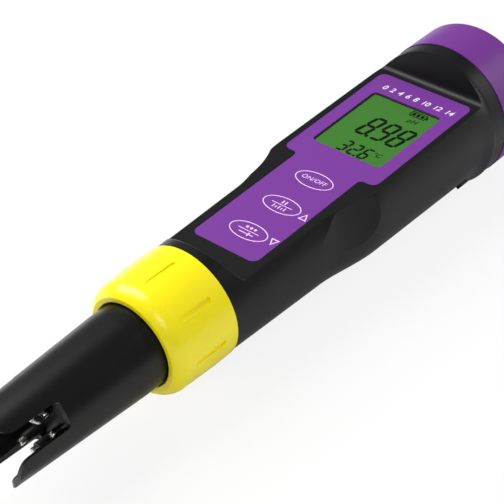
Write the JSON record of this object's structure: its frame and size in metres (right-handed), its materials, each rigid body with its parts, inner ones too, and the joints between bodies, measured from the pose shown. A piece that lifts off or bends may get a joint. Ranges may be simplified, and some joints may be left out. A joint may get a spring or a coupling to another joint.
{
  "type": "water quality tester",
  "caption": "Hand-held water quality tester with a flat face, a display and oval keys, a screwed battery cap and a slotted probe held by a screwed collar",
  "frame": {"origin": "below the middle of the tester's length, on the surface that it lies on", "axes": "+Y along the tester from the probe's tip to the battery cap, +Z out of the face, +X across the face"},
  "size_m": [0.0404, 0.1852, 0.0404],
  "materials": {
    "body_black": "satin",
    "label_purple": "satin",
    "key_purple": "satin",
    "cap_purple": "satin",
    "collar_yellow": "gloss",
    "window_clear": "polished",
    "display_green": "gloss",
    "strip_rubber": "matt",
    "light_white": "matt",
    "frame_white": "matt",
    "board_green": "satin",
    "part_black": "matt",
    "screw_steel": "brushed",
    "cradle_grey": "matt",
    "socket_black": "matt",
    "contact_gold": "plated",
    "seal_rubber": "matt",
    "tray_black": "matt",
    "cell_steel": "brushed",
    "carrier_black": "satin",
    "bulb_glass": "polished",
    "wire_silver": "drawn",
    "junction_white": "matt",
    "pin_steel": "polished",
    "sheath_black": "matt"
  },
  "bodies": {
    "housing": {"housing": "body_black", "face_label": "label_purple", "display_window": "window_clear", "display_glass": "display_green", "contact_strips": "strip_rubber", "light_box": "light_white", "display_frame": "frame_white", "main_board": "board_green", "board_screws": "screw_steel", "tact_switches": "part_black", "board_parts": "part_black", "board_cradle": "cradle_grey", "probe_socket": "socket_black", "socket_seal": "seal_rubber", "socket_contacts": "contact_gold", "socket_board": "board_green", "board_link": "part_black", "battery_tray": "tray_black", "tray_screws": "screw_steel", "button_cells": "cell_steel", "contact_plates": "cell_steel"},
    "probe": {"probe_sleeve": "body_black", "sensor_carrier": "carrier_black", "ph_bulb": "bulb_glass", "ph_wire": "wire_silver", "reference_junction": "junction_white", "conductivity_pins": "pin_steel", "pin_sheaths": "sheath_black", "temperature_probe": "pin_steel", "probe_pins": "contact_gold", "plug_seal": "seal_rubber"},
    "collar": {"collar_nut": "collar_yellow"},
    "cap_seal": {"cap_seal": "seal_rubber"},
    "battery_cap": {"battery_cap": "cap_purple"},
    "on_off_key": {"on_off_key": "key_purple"},
    "hold_key": {"hold_key": "key_purple"},
    "mode_key": {"mode_key": "key_purple"}
  },
  "joints": [
    {"name": "probe_draw", "type": "slide", "parent": "housing", "child": "probe", "axis": [0, -1, 0], "range_m": [0, 0.006]},
    {"name": "collar_turn", "type": "hinge", "parent": "probe", "child": "collar", "pos_m": [0, -0.03765, 0.0202], "axis": [0, -1, 0], "range_deg": [0, 1080]},
    {"name": "cap_lift", "type": "slide", "parent": "housing", "child": "cap_seal", "axis": [0, 1, 0], "range_m": [0, 0.004]},
    {"name": "cap_turn", "type": "hinge", "parent": "cap_seal", "child": "battery_cap", "pos_m": [0, 0.08435, 0.0202], "axis": [0, 1, 0], "range_deg": [0, 720]},
    {"name": "on_off_press", "type": "slide", "parent": "housing", "child": "on_off_key", "axis": [0, 0.0244, -0.9997], "range_m": [0, 0.0003], "stiffness_N_per_m": 2000},
    {"name": "hold_press", "type": "slide", "parent": "housing", "child": "hold_key", "axis": [0, 0.0244, -0.9997], "range_m": [0, 0.0003], "stiffness_N_per_m": 2000},
    {"name": "mode_press", "type": "slide", "parent": "housing", "child": "mode_key", "axis": [0, 0.0244, -0.9997], "range_m": [0, 0.0003], "stiffness_N_per_m": 2000}
  ],
  "couplings": [
    {"joint": "collar_turn", "follows": "probe_draw", "rad_per_m": 3141.5},
    {"joint": "cap_turn", "follows": "cap_lift", "rad_per_m": 3141.5}
  ]
}
